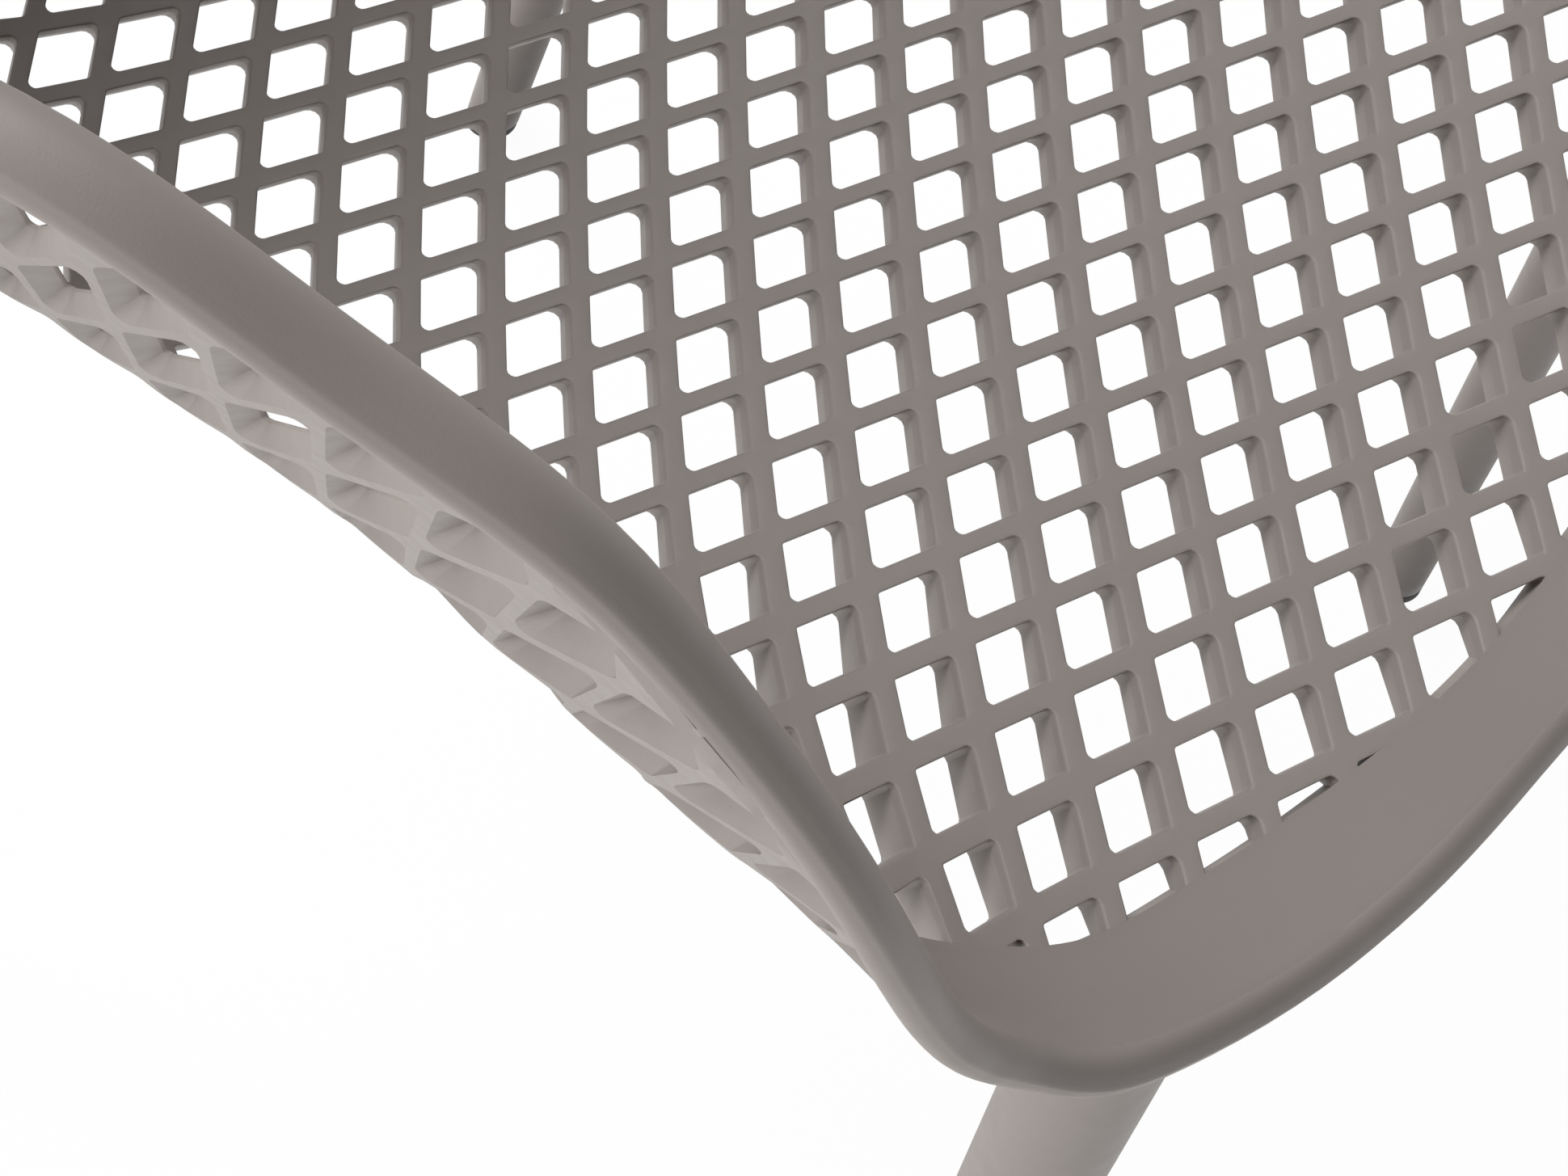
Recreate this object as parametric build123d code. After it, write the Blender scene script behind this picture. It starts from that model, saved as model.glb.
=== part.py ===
from build123d import *
import os
from math import cos, exp, expm1, log1p, pi, radians, sin, sqrt

os.makedirs("parts", exist_ok=True)

# Garden armchair moulded in resin. X is across the chair, Y runs to the back, Z is up, the floor is Z = 0.
# The shell is described in the draw frame of its mould, turned about X by draw_tilt:
# x across, w back along the face of the mould and d up along the direction in which the mould opens.
# All sizes are millimetres.

# Draw direction of the mould, leaning forward from the vertical, in degrees
draw_tilt = 27.0

# Middle line of the seat and the back: two straight slopes and a rounded bend, and the dish across it
bend_w = 322.0
bend_d = 300.0
bend_round = 35.0
seat_slope = 0.648
back_slope = 1.05
dish = 0.0006

# Side walls that rise to the arms: a straight slope above a rounded foot, softer at the front corner
arm_rise = 204.0
arm_front_w = -30.5
arm_peak_w = 275.0
arm_back_w = 573.0
wall_slope = 2.6
wall_round = 12.0
corner_round = 27.0
corner_round_w = (30.0, 180.0)
half_width = 279.0
flare = 9.2
flare_start_w = 114.0
flare_length = 580.0

# Edge of the shell: places as a share of the half width, and w behind the front or below the top
front_w = -34.0
top_w = 612.0
corner_w = 110.0
shoulder_w = 530.0
front_curve = [(0.0, 0.0), (0.415, 18.0), (0.667, 37.0), (0.852, 62.0), (0.933, 84.0), (0.978, 109.0)]
top_curve = [(0.967, 64.0), (0.88, 37.0), (0.652, 18.0), (0.34, 4.0), (0.0, 0.0)]

# Flat band behind the front edge: its inner edge, as a share of the half width and w behind the front
band_curve = [(0.0, 24.0), (0.26, 30.0), (0.41, 38.0), (0.548, 50.0), (0.667, 63.0), (0.778, 78.0)]
band_tail = [(0.844, 96.0), (0.9, 118.0), (0.956, 142.0)]

# Net of crossing bars: lozenge cells, measured across the chair and along w
cell_width = 38.8
cell_length = 20.2
cell_row_w = 126.5
bar_width = 3.6
bar_step = 2
net_thickness = 7.0
net_border = 5.0
least_opening = 60.0
side_seam_column = 5
bend_seam_row = 4

# Rolled rim of the shell
rim_radius_front = 6.8
rim_radius_arm = 8.3
wall_overlap = 5.0

# Legs: tapered tubes pushed over spigots under the shell
leg_radius_top = 14.5
leg_radius_foot = 11.5
leg_wall = 3.5
front_leg_top = (224.0, -205.0, 445.0)
front_leg_foot = (250.0, -222.0, 0.0)
rear_leg_top = (216.0, 128.0, 465.0)
rear_leg_foot = (226.0, 223.0, 0.0)
leg_pad_radius = 21.0
spigot_length = 55.0
fit_clearance = 0.15

# Glides in the feet and screws that hold the legs
glide_height = 6.0
glide_stem = 20.0
screw_drop = 30.0
screw_radius = 2.0
screw_head_radius = 4.0
screw_head_height = 2.4
screw_depth = 9.0
screw_seat = 1.2

# Longer than any piece
reach = 2000.0

# Half diagonals of a cell of the net, and the columns and rows of bars where the shell is divided
half_x = bar_step * cell_width / 2
half_w = bar_step * cell_length / 2
seam_x = side_seam_column * half_x
seam_w = cell_row_w + bend_seam_row * 2 * half_w


def profile_depth(w):
    """Depth d of the middle line of the seat and the back."""
    run = w - bend_w
    mean = (back_slope - seat_slope) / 2
    half = (back_slope + seat_slope) / 2
    return bend_d + mean * run + sqrt((half * run) ** 2 + bend_round ** 2)


def side_x(w):
    """Half width of the shell at its rim."""
    return half_width - flare * cos(2 * pi * (w - flare_start_w) / flare_length)


def wall_rise(w):
    """Height of the side wall above the dished seat, zero at the front corner and at the top."""
    if w < arm_peak_w:
        share = (w - arm_front_w) / (arm_peak_w - arm_front_w)
    else:
        share = (arm_back_w - w) / (arm_back_w - arm_peak_w)
    return arm_rise * sin(pi / 2 * max(share, 0.0)) ** 2


def wall_foot(w):
    """Rounding of the foot of the side wall."""
    share = min(max((w - corner_round_w[0]) / (corner_round_w[1] - corner_round_w[0]), 0.0), 1.0)
    return corner_round + (wall_round - corner_round) * share * share * (3 - 2 * share)


def wall_depth(x, w):
    """What the side wall adds to the dished seat: its whole rise at the rim, little inside its foot."""
    scale = wall_slope * wall_foot(w)
    return scale * log1p(expm1(wall_rise(w) / scale) * exp((abs(x) - side_x(w)) / wall_foot(w)))


def inner_depth(x, w):
    """Depth d of the face that carries the sitter."""
    return profile_depth(w) + dish * x ** 2 + wall_depth(x, w)


def outer_depth(x, w):
    """Depth d of the underside, one net thickness away square to the face."""
    step = 0.5
    across = (inner_depth(x + step, w) - inner_depth(x - step, w)) / (2 * step)
    along = (inner_depth(x, w + step) - inner_depth(x, w - step)) / (2 * step)
    return inner_depth(x, w) - net_thickness * sqrt(1 + across ** 2 + along ** 2)


def rim_depth(x, w):
    """Depth d of the rim's middle line at the side, the same for any x."""
    return inner_depth(side_x(w), w)


def spread(low, high, count):
    """Evenly spaced values from low to high."""
    return [low + (high - low) * i / (count - 1) for i in range(count)]


def wider(span):
    """A span with a millimetre more at each end."""
    return span[0] - 1, span[1] + 1


def block_below(depth, x_range, w_range, counts):
    """Solid under a curved face of the shell."""
    rows = []
    for x in spread(*x_range, counts[0]):
        rows.append([Vector(x, w, depth(x, w)) for w in spread(*w_range, counts[1])])
    face = Face.make_surface_from_array_of_points(rows, tol=0.02, min_deg=3, max_deg=5)
    return extrude(face, amount=reach, dir=(0, 0, -1))


def place(shape):
    """Turn a shape from the draw frame into the chair's frame."""
    return Rot(draw_tilt, 0, 0) * shape


def flipped(shape):
    """The left-hand twin of a right-hand piece."""
    return mirror(shape, about=Plane.YZ)


def draw_place(point):
    """x and w of a point given in the chair's frame."""
    return point[0], point[1] * cos(radians(draw_tilt)) + point[2] * sin(radians(draw_tilt))


def front_points(curve):
    """Points of a line behind the front edge."""
    return [(share * side_x(corner_w), front_w + rise) for share, rise in curve]


def top_points():
    """Points of the top edge, from the shoulder to the middle."""
    return [(share * side_x(shoulder_w), top_w - drop) for share, drop in top_curve]


def half_edge():
    """Edge of the right half of the shell, from the middle of the front to the middle of the top."""
    side = [(side_x(w), w) for w in spread(corner_w, shoulder_w, 9)]
    return front_points(front_curve) + side + top_points()


def half_net_edge():
    """Edge of the right half of the net, which runs into the rim at the side."""
    side = [(side_x(w) + wall_overlap, w) for w in spread(corner_w, shoulder_w, 9)[1:]]
    return front_points(band_curve + band_tail) + side + top_points()


def closed(half):
    """A closed line of points from its right half, which starts and ends on the middle line."""
    return half + [(-x, w) for x, w in reversed(half[1:-1])]


def drawn_in(points, amount):
    """A closed line of points moved inwards by an amount."""
    moved = []
    for i, (x, w) in enumerate(points):
        before = points[i - 1]
        after = points[(i + 1) % len(points)]
        run_x, run_w = after[0] - before[0], after[1] - before[1]
        length = sqrt(run_x ** 2 + run_w ** 2)
        moved.append((x - run_w / length * amount, w + run_x / length * amount))
    return moved


def region_inside(points):
    """Flat region inside a smooth closed line."""
    return make_face(Spline(*[(x, w, 0) for x, w in points], periodic=True))


def window(x_range, w_range):
    """Rectangle in plan."""
    centre = Pos((x_range[0] + x_range[1]) / 2, (w_range[0] + w_range[1]) / 2)
    return centre * Rectangle(x_range[1] - x_range[0], w_range[1] - w_range[0])


def openings(x_range, w_range):
    """Corners of the lozenge openings between the bars that reach into a window."""
    share = 1 - bar_width / 2 * sqrt(half_x ** 2 + half_w ** 2) / (half_x * half_w)
    long, short = half_x * share, half_w * share
    found = []
    for column in range(int(x_range[0] // half_x), int(x_range[1] // half_x) + 2):
        for row in range(int((w_range[0] - cell_row_w) // half_w), int((w_range[1] - cell_row_w) // half_w) + 2):
            x, w = column * half_x, cell_row_w + row * half_w
            if (column + row) % 2 == 1 and x_range[0] < x + long and x - long < x_range[1]:
                found.append([(x + long, w), (x, w + short), (x - long, w), (x, w - short)])
    return found


def pierced(area, clear, x_range, w_range):
    """A region of the net with its openings, cut off where the border or a leg's pad is solid."""
    clear_face = clear.face()
    whole = []
    parted = []
    for corners in openings(x_range, w_range):
        rim = [((a[0] + b[0]) / 2, (a[1] + b[1]) / 2) for a, b in zip(corners, corners[1:] + corners[:1])]
        is_clear = [clear_face.is_inside(Vector(x, w, 0)) for x, w in corners + rim]
        in_window = [x_range[0] < x < x_range[1] and w_range[0] < w < w_range[1] for x, w in corners]
        outline = Wire.make_polygon([(x, w, 0) for x, w in corners], close=True)
        if all(is_clear) and all(in_window):
            whole.append(outline)
        elif any(is_clear):
            parted += [face for face in (Sketch([Face(outline)]) & clear).faces() if face.area > least_opening]
    plate = Sketch([area.face().make_holes(whole)])
    return plate - Sketch(parted)


def sheet(region, top, under, cap=None):
    """Solid of a region of the shell between its two curved faces."""
    prism = extrude(Pos(0, 0, -reach / 2) * region, amount=reach)
    solid = prism & top
    if cap is not None:
        solid = solid & cap
    return solid - under


def largest(shape):
    """The main solid of a piece, without slivers that a cut has left loose."""
    return max(shape.solids(), key=lambda solid: solid.volume)


def rim_radius(w):
    """Radius of the rolled rim, growing from the front corner to the arm."""
    share = min(max((w - front_w) / (arm_peak_w - front_w), 0.0), 1.0)
    return rim_radius_front + (rim_radius_arm - rim_radius_front) * share * share * (3 - 2 * share)


def rim_path():
    """Middle line of the rim on the right half, from the middle of the front to the middle of the top."""
    points = [Vector(x, w, inner_depth(x, w)) for x, w in half_edge()]
    return Edge.make_spline(points, tangents=[Vector(1, 0, 0), Vector(-1, 0, 0)])


def place_on_rim(path, w):
    """How far along the path the rim passes w on the side."""
    return path.param_at_point(Vector(side_x(w), w, rim_depth(0, w)))


def rim_ring(path, u):
    """Round section of the rim; u below zero or above one lies on the left half."""
    left = u < 0 or u > 1
    u = -u if u < 0 else 2 - u if u > 1 else u
    centre = path @ u
    tangent = path % u
    if left:
        centre = Vector(-centre.X, centre.Y, centre.Z)
        tangent = Vector(tangent.X, -tangent.Y, -tangent.Z)
    ring = Plane(origin=centre, x_dir=tangent.cross(Vector(0, 0, 1)), z_dir=tangent)
    return ring * Circle(rim_radius(centre.Y))


def rim_length(path, start, end, count):
    """A stretch of the rolled rim between two places along its path."""
    return loft([rim_ring(path, u) for u in spread(start, end, count)])


def leg_axis(top, foot):
    """Direction and length of a leg's middle line."""
    axis = Vector(*top) - Vector(*foot)
    return axis.normalized(), axis.length


def leg_radius(length, s):
    """Outer radius of a leg, s along its axis from the floor."""
    return leg_radius_foot + (leg_radius_top - leg_radius_foot) * s / length


def leg_cone(top, foot, shrink, start, end):
    """Tapered bar along a leg's axis, thinner than the leg by shrink all round."""
    axis, length = leg_axis(top, foot)
    frame = Plane(origin=Vector(*foot) + axis * start, z_dir=axis)
    return frame * Solid.make_cone(leg_radius(length, start) - shrink, leg_radius(length, end) - shrink, end - start)


def layer(low, high):
    """Everything between two heights."""
    return Pos(0, 0, (low + high) / 2) * Box(reach, reach, high - low)


def screw_frame(top, foot):
    """Plane on the inner side of a leg, facing in to its axis."""
    axis, length = leg_axis(top, foot)
    s = length - screw_drop
    across = Vector(1, 0, 0)
    inward = (across - axis * across.dot(axis)).normalized()
    return Plane(origin=Vector(*foot) + axis * s - inward * leg_radius(length, s), z_dir=inward)


def let_in_depth(x, w):
    """Depth d a little above the underside, where the shell is cut out of a leg's top."""
    return outer_depth(x, w) + net_thickness / 4


def leg_space(top, foot):
    """Everything below the shell, around one leg."""
    x, w = draw_place(top)
    room = leg_radius_top * 3
    low = min(draw_place(foot)[1], w) - room
    return place(block_below(let_in_depth, (x - room, x + room), (low, w + room), (13, 25)))


def leg_set(top, foot, neighbours):
    """A right leg with the spigot, glide and screw that go with it."""
    length = leg_axis(top, foot)[1]
    above = length + leg_radius_top * 6
    space = leg_space(top, foot)
    tube = leg_cone(top, foot, 0, -leg_radius_foot, above)
    tube = tube - leg_cone(top, foot, leg_wall, -leg_radius_foot, above)
    tube = (tube & space) & layer(glide_height, reach)
    spigot = leg_cone(top, foot, leg_wall + fit_clearance, length - spigot_length, above) & space
    for neighbour in neighbours:
        tube = tube - neighbour
        spigot = spigot - neighbour

    frame = screw_frame(top, foot)
    head = Pos(0, 0, screw_seat - screw_head_height) * extrude(Circle(screw_head_radius), amount=screw_head_height)
    screw = frame * (head + extrude(Circle(screw_radius), amount=screw_depth))
    hole = frame * extrude(Circle(screw_radius + fit_clearance), amount=screw_depth + fit_clearance)
    pocket = extrude(Circle(screw_head_radius + fit_clearance), amount=leg_radius_top)
    tube = tube - hole - frame * Pos(0, 0, screw_seat - leg_radius_top) * pocket

    glide = leg_cone(top, foot, 0, -leg_radius_foot, glide_height * 3) & layer(0, glide_height)
    stem = leg_cone(top, foot, leg_wall + fit_clearance, 0, glide_stem + glide_height * 2)
    glide = glide + (stem & layer(glide_height, glide_height + glide_stem))
    return tube, spigot - hole, glide, screw


def shell():
    """Pieces of the shell by name: the nets, the front band and the lengths of the rim."""
    path = rim_path()
    corner = place_on_rim(path, corner_w)
    shoulder = place_on_rim(path, shoulder_w)
    front_rim = rim_length(path, -corner, corner, 17)
    arm_rim = rim_length(path, corner, shoulder, 13)
    back_rim = rim_length(path, shoulder, 2 - shoulder, 17)

    # Curved faces of the shell: one patch for the middle, one for the side, one for the front
    widest = half_width + flare + wall_overlap * 2
    whole_w = (front_w - wall_overlap * 4, top_w + wall_overlap * 4)
    middle = (-seam_x - wall_overlap, seam_x + wall_overlap)
    side = (seam_x - wall_overlap, widest)
    front = (whole_w[0], corner_w + half_w * 2)
    top_middle = block_below(inner_depth, middle, whole_w, (11, 32))
    under_middle = block_below(outer_depth, wider(middle), wider(whole_w), (11, 32))
    top_side = block_below(inner_depth, side, whole_w, (21, 36))
    under_side = block_below(outer_depth, wider(side), wider(whole_w), (21, 36))
    half = (-wall_overlap, widest)
    top_front = block_below(inner_depth, half, front, (24, 16))
    under_front = block_below(outer_depth, wider(half), wider(front), (24, 16))
    cap = block_below(rim_depth, wider(half), wider(whole_w), (4, 36))

    # Regions in plan
    net_points = closed(half_net_edge())
    net_area = region_inside(net_points)
    clear = region_inside(drawn_in(net_points, net_border))
    for top in (front_leg_top, rear_leg_top):
        clear = clear - Pos(*draw_place(top)) * Circle(leg_pad_radius)
    band_area = (region_inside(closed(half_edge())) & window((0, widest), front)) - net_area

    def net(x_range, w_range, top, under, limit=None):
        """Net of one window of the shell."""
        area = net_area & window(x_range, w_range)
        return sheet(pierced(area, clear, x_range, w_range), top, under, limit)

    before = (whole_w[0], seam_w)
    behind = (seam_w, whole_w[1])
    arm_net = largest(net((seam_x, widest), before, top_side, under_side, cap) - arm_rim)
    wing_net = largest(net((seam_x, widest), behind, top_side, under_side, cap) - arm_rim - back_rim)
    half_band = sheet(band_area, top_front, under_front, cap) - front_rim - arm_rim
    pieces = {
        "seat_net": net((-seam_x, seam_x), before, top_middle, under_middle),
        "back_net": net((-seam_x, seam_x), behind, top_middle, under_middle) - back_rim,
        "front_band": half_band + flipped(half_band),
        "front_rim": front_rim,
        "back_rim": back_rim,
    }
    for name, piece in (("arm_net", arm_net), ("wing_net", wing_net), ("arm_rim", arm_rim)):
        pieces["right_" + name] = piece
        pieces["left_" + name] = flipped(piece)
    return {name: place(piece) for name, piece in pieces.items()}


def legs(front_shell, rear_shell):
    """Legs, spigots, glides and screws by name; each leg ends under the pieces of the shell above it."""
    pieces = {}
    screws = []
    ends = (
        ("front", front_leg_top, front_leg_foot, front_shell),
        ("rear", rear_leg_top, rear_leg_foot, rear_shell),
    )
    for end, top, foot, neighbours in ends:
        tube, spigot, glide, screw = leg_set(top, foot, neighbours)
        for name, piece in (("leg", tube), ("leg_spigot", spigot), ("glide", glide)):
            pieces[end + "_right_" + name] = piece
            pieces[end + "_left_" + name] = flipped(piece)
        screws += [screw, flipped(screw)]
    pieces["leg_screws"] = Compound(screws)
    return pieces


chair = shell()
over_front = [chair[name] for name in ("front_band", "front_rim", "right_arm_rim", "right_arm_net")]
over_rear = [chair[name] for name in ("right_wing_net", "right_arm_net")]
chair.update(legs(over_front, over_rear))
for node, piece in chair.items():
    export_step(piece, "parts/" + node + ".step")
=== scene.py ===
"""Garden armchair in moulded resin: a bucket shell of lozenge net on four round tapered legs."""

import logging
import math
from bisect import bisect_left
from dataclasses import dataclass, field
from enum import Enum

import bmesh
import bpy
from mathutils import Matrix, Vector
from mathutils.geometry import interpolate_bezier
from mathutils.kdtree import KDTree


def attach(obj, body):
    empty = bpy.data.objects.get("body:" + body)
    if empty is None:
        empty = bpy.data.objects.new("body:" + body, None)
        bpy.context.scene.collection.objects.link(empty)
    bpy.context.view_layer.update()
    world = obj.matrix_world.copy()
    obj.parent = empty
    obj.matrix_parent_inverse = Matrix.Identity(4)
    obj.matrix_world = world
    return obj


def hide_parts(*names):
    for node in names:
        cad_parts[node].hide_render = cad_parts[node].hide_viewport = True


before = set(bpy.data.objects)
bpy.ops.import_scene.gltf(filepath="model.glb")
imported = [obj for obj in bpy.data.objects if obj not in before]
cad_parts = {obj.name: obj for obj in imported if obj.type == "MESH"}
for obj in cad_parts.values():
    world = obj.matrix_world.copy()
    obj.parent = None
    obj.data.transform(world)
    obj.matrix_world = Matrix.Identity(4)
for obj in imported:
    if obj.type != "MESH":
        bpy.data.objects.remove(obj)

LOG = logging.getLogger("garden_chair")
MM = 0.001
BODY = "root"

Plan = tuple[float, float]
Triple = tuple[float, float, float]
Geometry = list[bmesh.types.BMVert | bmesh.types.BMEdge | bmesh.types.BMFace]
Inputs = dict[str | int, float | tuple[float, ...] | bpy.types.NodeSocket]


class Slot(Enum):
    """Material slots of the part's record."""

    SHELL = "shell_resin"
    LEG = "leg_resin"
    FOOT = "foot_rubber"
    SCREW = "screw_steel"


class Corner(Enum):
    """The four legs: node prefix, side of the chair, and whether the leg stands at the front."""

    FRONT_RIGHT = ("front_right", 1.0, True)
    FRONT_LEFT = ("front_left", -1.0, True)
    REAR_RIGHT = ("rear_right", 1.0, False)
    REAR_LEFT = ("rear_left", -1.0, False)

    @property
    def prefix(self) -> str:
        """Start of the names of this leg's nodes."""
        return self.value[0]

    @property
    def side(self) -> float:
        """Plus one on the right, minus one on the left."""
        return self.value[1]

    @property
    def at_front(self) -> bool:
        """Whether the leg carries the front corner."""
        return self.value[2]


class NodeGraph:
    """Shader nodes of a material or a world, wired as they are added."""

    def __init__(self, owner: bpy.types.Material | bpy.types.World) -> None:
        """Start from the nodes that a new tree has.

        Args:
            owner: The material or the world.
        """
        owner.use_nodes = True
        self.nodes, self.links = owner.node_tree.nodes, owner.node_tree.links

    def wire(self, node: bpy.types.Node, inputs: Inputs) -> bpy.types.Node:
        """Set or link inputs of a node.

        Args:
            node: The node.
            inputs: A value or a source for each input, by its name or its number.

        Returns:
            The same node.
        """
        for key, value in inputs.items():
            if isinstance(value, bpy.types.NodeSocket):
                self.links.new(value, node.inputs[key])
            else:
                node.inputs[key].default_value = value
        return node

    def add(self, kind: str, inputs: Inputs) -> bpy.types.Node:
        """Add a node.

        Args:
            kind: Type of the node.
            inputs: A value or a source for each input.

        Returns:
            The new node.
        """
        return self.wire(self.nodes.new(kind), inputs)

    def place(self) -> bpy.types.NodeSocket:
        """Place on the object, in its own coordinates."""
        return self.nodes.new("ShaderNodeTexCoord").outputs["Object"]

    def noise(self, scale: float, detail: float) -> bpy.types.NodeSocket:
        """Noise over the object, by its spots per metre and the number of its finer layers."""
        inputs: Inputs = {"Vector": self.place(), "Scale": scale, "Detail": detail}
        return self.add("ShaderNodeTexNoise", inputs).outputs["Fac"]

    def span(self, value: bpy.types.NodeSocket, source: Plan, goal: Plan) -> bpy.types.NodeSocket:
        """Map a value from one span of numbers onto another."""
        inputs: Inputs = {"Value": value, "From Min": source[0], "From Max": source[1]}
        inputs |= {"To Min": goal[0], "To Max": goal[1]}
        return self.add("ShaderNodeMapRange", inputs).outputs["Result"]

    def tint(self, value: bpy.types.NodeSocket, span: Plan, low: Triple, high: Triple) -> bpy.types.NodeSocket:
        """Blend two colours by a value, over a span of it."""
        blend = self.add("ShaderNodeValToRGB", {"Fac": value})
        for element, position, colour in zip(blend.color_ramp.elements, span, (low, high)):
            element.position = position
            element.color = (*colour, 1.0)
        return blend.outputs["Color"]

    def bump(self, height: bpy.types.NodeSocket, strength: float, distance: float) -> bpy.types.NodeSocket:
        """Relief of a height, by its strength and the metres that a height of one stands for."""
        inputs: Inputs = {"Height": height, "Strength": strength, "Distance": distance}
        return self.add("ShaderNodeBump", inputs).outputs["Normal"]


@dataclass(frozen=True)
class ResinFinish:
    """Matte through-coloured resin with the fine grain of an etched mould.

    Attributes:
        name: Name of the material.
        light, dark: Colours of the paler and the darker clouds in the resin.
        cloud_scale, cloud_span: Clouds per metre, and the values of the noise between which they change.
        patch_scale, patch_span: The same for the duller and the shinier patches.
        roughness: Lowest and highest roughness over the surface.
        specular: Strength of the reflection.
        grain_scale, grain_depth, grain_strength: Grains per metre, their height in metres, their strength.
    """

    name: str
    light: Triple = (0.262, 0.232, 0.214)
    dark: Triple = (0.246, 0.217, 0.200)
    cloud_scale: float = 9.0
    cloud_span: Plan = (0.35, 0.65)
    patch_scale: float = 160.0
    patch_span: Plan = (0.3, 0.7)
    roughness: Plan = (0.46, 0.56)
    specular: float = 0.42
    grain_scale: float = 2400.0
    grain_depth: float = 0.00006
    grain_strength: float = 0.35

    def material(self) -> bpy.types.Material:
        """Build the node material.

        Returns:
            The finished material.
        """
        material = bpy.data.materials.new(self.name)
        graph = NodeGraph(material)
        grain = graph.add("ShaderNodeTexVoronoi", {"Vector": graph.place(), "Scale": self.grain_scale})
        grain.feature = "SMOOTH_F1"
        clouds = graph.noise(self.cloud_scale, 4.0)
        patches = graph.noise(self.patch_scale, 3.0)
        graph.wire(graph.nodes["Principled BSDF"], {
            "Specular IOR Level": self.specular,
            "Base Color": graph.tint(clouds, self.cloud_span, self.dark, self.light),
            "Roughness": graph.span(patches, self.patch_span, self.roughness),
            "Normal": graph.bump(grain.outputs["Distance"], self.grain_strength, self.grain_depth),
        })
        return material


@dataclass(frozen=True)
class RubberFinish:
    """Dark rubber of the foot glides, with dust in its scuffs.

    Attributes:
        name: Name of the material.
        clean, dusty: Colours of the clean rubber and of the dust in its scuffs.
        roughness: Roughness of the surface.
        scuff_scale, scuff_span: Scuffs per metre, and the values of the noise between which dust sets in.
        scuff_depth, scuff_strength: Depth of the scuffs in metres, and the strength of their relief.
    """

    name: str
    clean: Triple = (0.045, 0.042, 0.040)
    dusty: Triple = (0.105, 0.098, 0.090)
    roughness: float = 0.72
    scuff_scale: float = 420.0
    scuff_span: Plan = (0.45, 0.75)
    scuff_depth: float = 0.0001
    scuff_strength: float = 0.3

    def material(self) -> bpy.types.Material:
        """Build the node material.

        Returns:
            The finished material.
        """
        material = bpy.data.materials.new(self.name)
        graph = NodeGraph(material)
        scuffs = graph.noise(self.scuff_scale, 6.0)
        graph.wire(graph.nodes["Principled BSDF"], {
            "Roughness": self.roughness,
            "Base Color": graph.tint(scuffs, self.scuff_span, self.clean, self.dusty),
            "Normal": graph.bump(scuffs, self.scuff_strength, self.scuff_depth),
        })
        return material


@dataclass(frozen=True)
class SteelFinish:
    """Plain stainless steel of the screws, with the marks of turning.

    Attributes:
        name: Name of the material.
        colour: Colour of the metal.
        roughness: Lowest and highest roughness over the surface.
        mark_scale: Turning marks per metre.
    """

    name: str
    colour: Triple = (0.55, 0.55, 0.56)
    roughness: Plan = (0.24, 0.44)
    mark_scale: float = 900.0

    def material(self) -> bpy.types.Material:
        """Build the node material.

        Returns:
            The finished material.
        """
        material = bpy.data.materials.new(self.name)
        graph = NodeGraph(material)
        graph.wire(graph.nodes["Principled BSDF"], {
            "Base Color": (*self.colour, 1.0),
            "Metallic": 1.0,
            "Roughness": graph.span(graph.noise(self.mark_scale, 2.0), (0.0, 1.0), self.roughness),
        })
        return material


def ease_in(span: Plan, place: float) -> float:
    """Soft step from zero to one.

    Args:
        span: Where the step starts and where it ends.
        place: Place on the same scale.

    Returns:
        A share from zero to one.
    """
    share = min(max((place - span[0]) / (span[1] - span[0]), 0.0), 1.0)
    return share * share * (3 - 2 * share)


def smooth_line(points: list[Plan], steps: int, closed: bool) -> list[Plan]:
    """Run a smooth line through points in plan.

    Args:
        points: Points that the line passes.
        steps: Points of the line for each span.
        closed: Whether the last point joins the first.

    Returns:
        Points along the line.
    """
    knots = [Vector((x, w)) for x, w in points]
    count = len(knots)
    line: list[Plan] = []
    for i in range(count if closed else count - 1):
        start, end = knots[i], knots[(i + 1) % count]
        before = knots[i - 1] if closed or i else start
        after = knots[(i + 2) % count] if closed or i + 2 < count else end
        leave, arrive = start + (end - before) / 6, end - (after - start) / 6
        span = interpolate_bezier(start, leave, arrive, end, steps + 1)
        line += [(p.x, p.y) for p in span[:-1]]
    if not closed:
        line.append(points[-1])
    return line


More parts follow.
